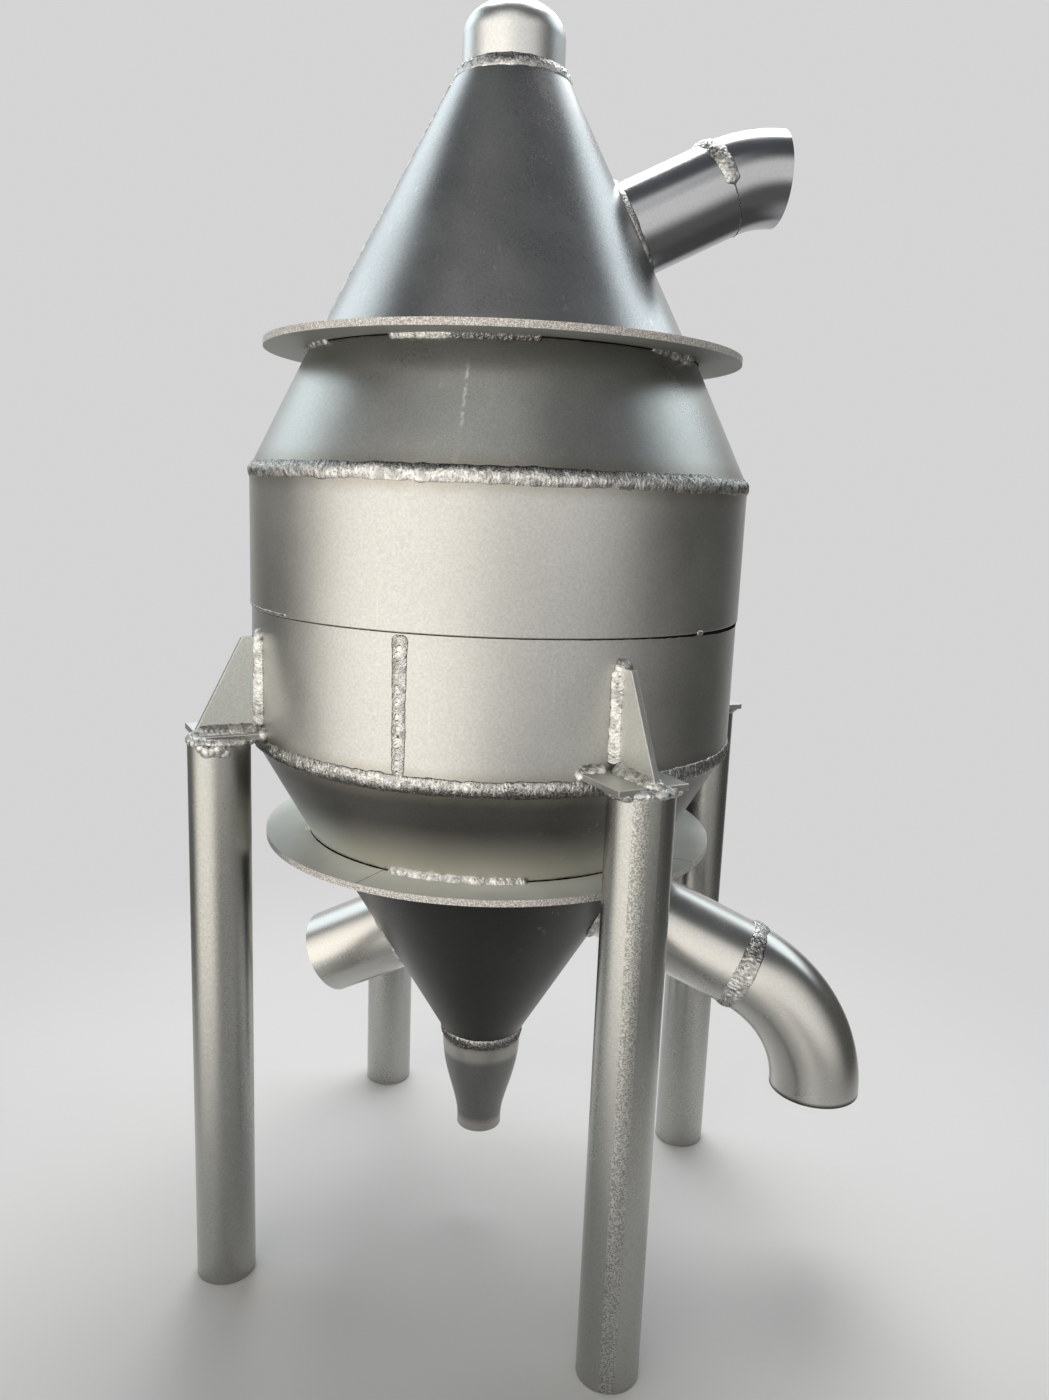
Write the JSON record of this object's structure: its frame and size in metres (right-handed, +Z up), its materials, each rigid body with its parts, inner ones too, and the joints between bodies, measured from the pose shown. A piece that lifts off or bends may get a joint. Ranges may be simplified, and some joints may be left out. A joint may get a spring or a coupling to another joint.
{
  "type": "cyclone separator",
  "caption": "Welded steel cyclone separator: a round shell between an upper and a lower cone, with flange rings, a domed cap, branch pipes, a tapered bottom outlet and tube legs.",
  "frame": {"origin": "on the vessel axis, in the plane of the leg ends", "axes": "+Z up along the vessel axis; +X level, away from the side stub and midway between two legs"},
  "size_m": [0.684, 0.5172, 1.2965],
  "materials": {
    "cap": "satin, bead blasted",
    "cone_sheet": "satin, darker graphite grey",
    "hopper_sheet": "satin grey",
    "lower_cone_sheet": "satin dark grey",
    "shell_sheet": "satin, bead blasted",
    "flange_plate": "satin plate with a bright cut edge",
    "pipe": "satin tube",
    "reducer": "satin",
    "leg_tube": "satin tube",
    "bracket_plate": "satin plate",
    "weld": "rough bright weld metal"
  },
  "bodies": {
    "root": {"top_cap": "cap", "upper_cone": "cone_sheet", "shoulder_cone": "cone_sheet", "hopper_cone": "hopper_sheet", "lower_cone": "lower_cone_sheet", "upper_shell": "shell_sheet", "lower_shell": "shell_sheet", "top_flange_ring": "flange_plate", "bottom_flange_ring": "flange_plate", "upper_pipe": "pipe", "upper_elbow": "pipe", "lower_pipe": "pipe", "lower_elbow": "pipe", "side_stub": "pipe", "bottom_reducer": "reducer", "leg_1": "leg_tube", "leg_2": "leg_tube", "leg_3": "leg_tube", "leg_4": "leg_tube", "leg_pad_1": "bracket_plate", "leg_pad_2": "bracket_plate", "leg_pad_3": "bracket_plate", "leg_pad_4": "bracket_plate", "gusset_1": "bracket_plate", "gusset_2": "bracket_plate", "gusset_3": "bracket_plate", "gusset_4": "bracket_plate", "cap_weld": "weld", "upper_cone_seam_weld": "weld", "top_flange_stitch_welds": "weld", "shoulder_weld": "weld", "upper_shell_seam_weld": "weld", "seam_tacks": "weld", "lower_shell_seam_weld": "weld", "belly_weld": "weld", "bottom_flange_stitch_welds": "weld", "reducer_weld": "weld", "upper_pipe_weld": "weld", "upper_elbow_weld": "weld", "lower_pipe_weld": "weld", "lower_elbow_weld": "weld", "side_stub_weld": "weld", "gusset_welds": "weld", "leg_pad_welds": "weld", "leg_top_welds": "weld"}
  },
  "joints": []
}
